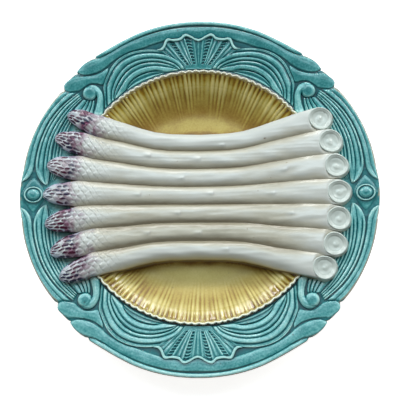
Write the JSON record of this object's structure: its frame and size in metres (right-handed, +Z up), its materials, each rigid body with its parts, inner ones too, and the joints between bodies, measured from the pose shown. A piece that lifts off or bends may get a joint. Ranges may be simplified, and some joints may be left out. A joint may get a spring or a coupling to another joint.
{
  "type": "asparagus plate",
  "caption": "Round majolica asparagus plate with moulded spears as a rack across the middle, fluted sauce wells on both sides and a scrolled teal border.",
  "frame": {"origin": "centre of the foot ring's bottom face", "axes": "+X towards the spears' cut ends, along the spears; +Y across the spears, towards the picture's top; +Z up, out of the plate's face"},
  "size_m": [0.239, 0.24, 0.0314],
  "materials": {
    "foot": "cream glaze at the sides, bare fired clay on the face that it stands on",
    "well_glaze": "glossy translucent ochre glaze, dark brown where it pools in the flutes",
    "lip_glaze": "glossy cream-white glaze",
    "teal_glaze": "glossy translucent teal glaze, nearly black where it pools, pale on the ridges",
    "white_glaze": "glossy white glaze with a taupe tone in the hollows",
    "violet_glaze": "glossy white glaze shaded into violet and maroon over the scales",
    "cut_glaze": "glossy pale blue-green glaze"
  },
  "bodies": {
    "root": {"foot_ring": "foot", "well_bowl": "well_glaze", "well_flutes_upper": "well_glaze", "well_flutes_lower": "well_glaze", "well_lip_upper": "lip_glaze", "well_lip_lower": "lip_glaze", "rim": "teal_glaze", "edge_lip_upper": "teal_glaze", "edge_lip_lower": "teal_glaze", "shell_upper": "teal_glaze", "shell_lower": "teal_glaze", "cabochon_left": "teal_glaze", "cabochon_right": "teal_glaze", "side_lip_ul": "teal_glaze", "long_leaf_ul": "teal_glaze", "short_leaf_ul": "teal_glaze", "scroll_ul": "teal_glaze", "volute_ul": "teal_glaze", "side_flutes_ul": "teal_glaze", "side_lip_ur": "teal_glaze", "long_leaf_ur": "teal_glaze", "short_leaf_ur": "teal_glaze", "scroll_ur": "teal_glaze", "volute_ur": "teal_glaze", "side_flutes_ur": "teal_glaze", "side_lip_ll": "teal_glaze", "long_leaf_ll": "teal_glaze", "short_leaf_ll": "teal_glaze", "scroll_ll": "teal_glaze", "volute_ll": "teal_glaze", "side_flutes_ll": "teal_glaze", "side_lip_lr": "teal_glaze", "long_leaf_lr": "teal_glaze", "short_leaf_lr": "teal_glaze", "scroll_lr": "teal_glaze", "volute_lr": "teal_glaze", "side_flutes_lr": "teal_glaze", "spear_bed": "white_glaze", "stalk_1": "white_glaze", "stalk_2": "white_glaze", "stalk_3": "white_glaze", "stalk_4": "white_glaze", "stalk_5": "white_glaze", "stalk_6": "white_glaze", "stalk_7": "white_glaze", "tip_1": "violet_glaze", "tip_2": "violet_glaze", "tip_3": "violet_glaze", "tip_4": "violet_glaze", "tip_5": "violet_glaze", "tip_6": "violet_glaze", "tip_7": "violet_glaze", "cut_end_1": "cut_glaze", "cut_end_2": "cut_glaze", "cut_end_3": "cut_glaze", "cut_end_4": "cut_glaze", "cut_end_5": "cut_glaze", "cut_end_6": "cut_glaze", "cut_end_7": "cut_glaze"}
  },
  "joints": []
}
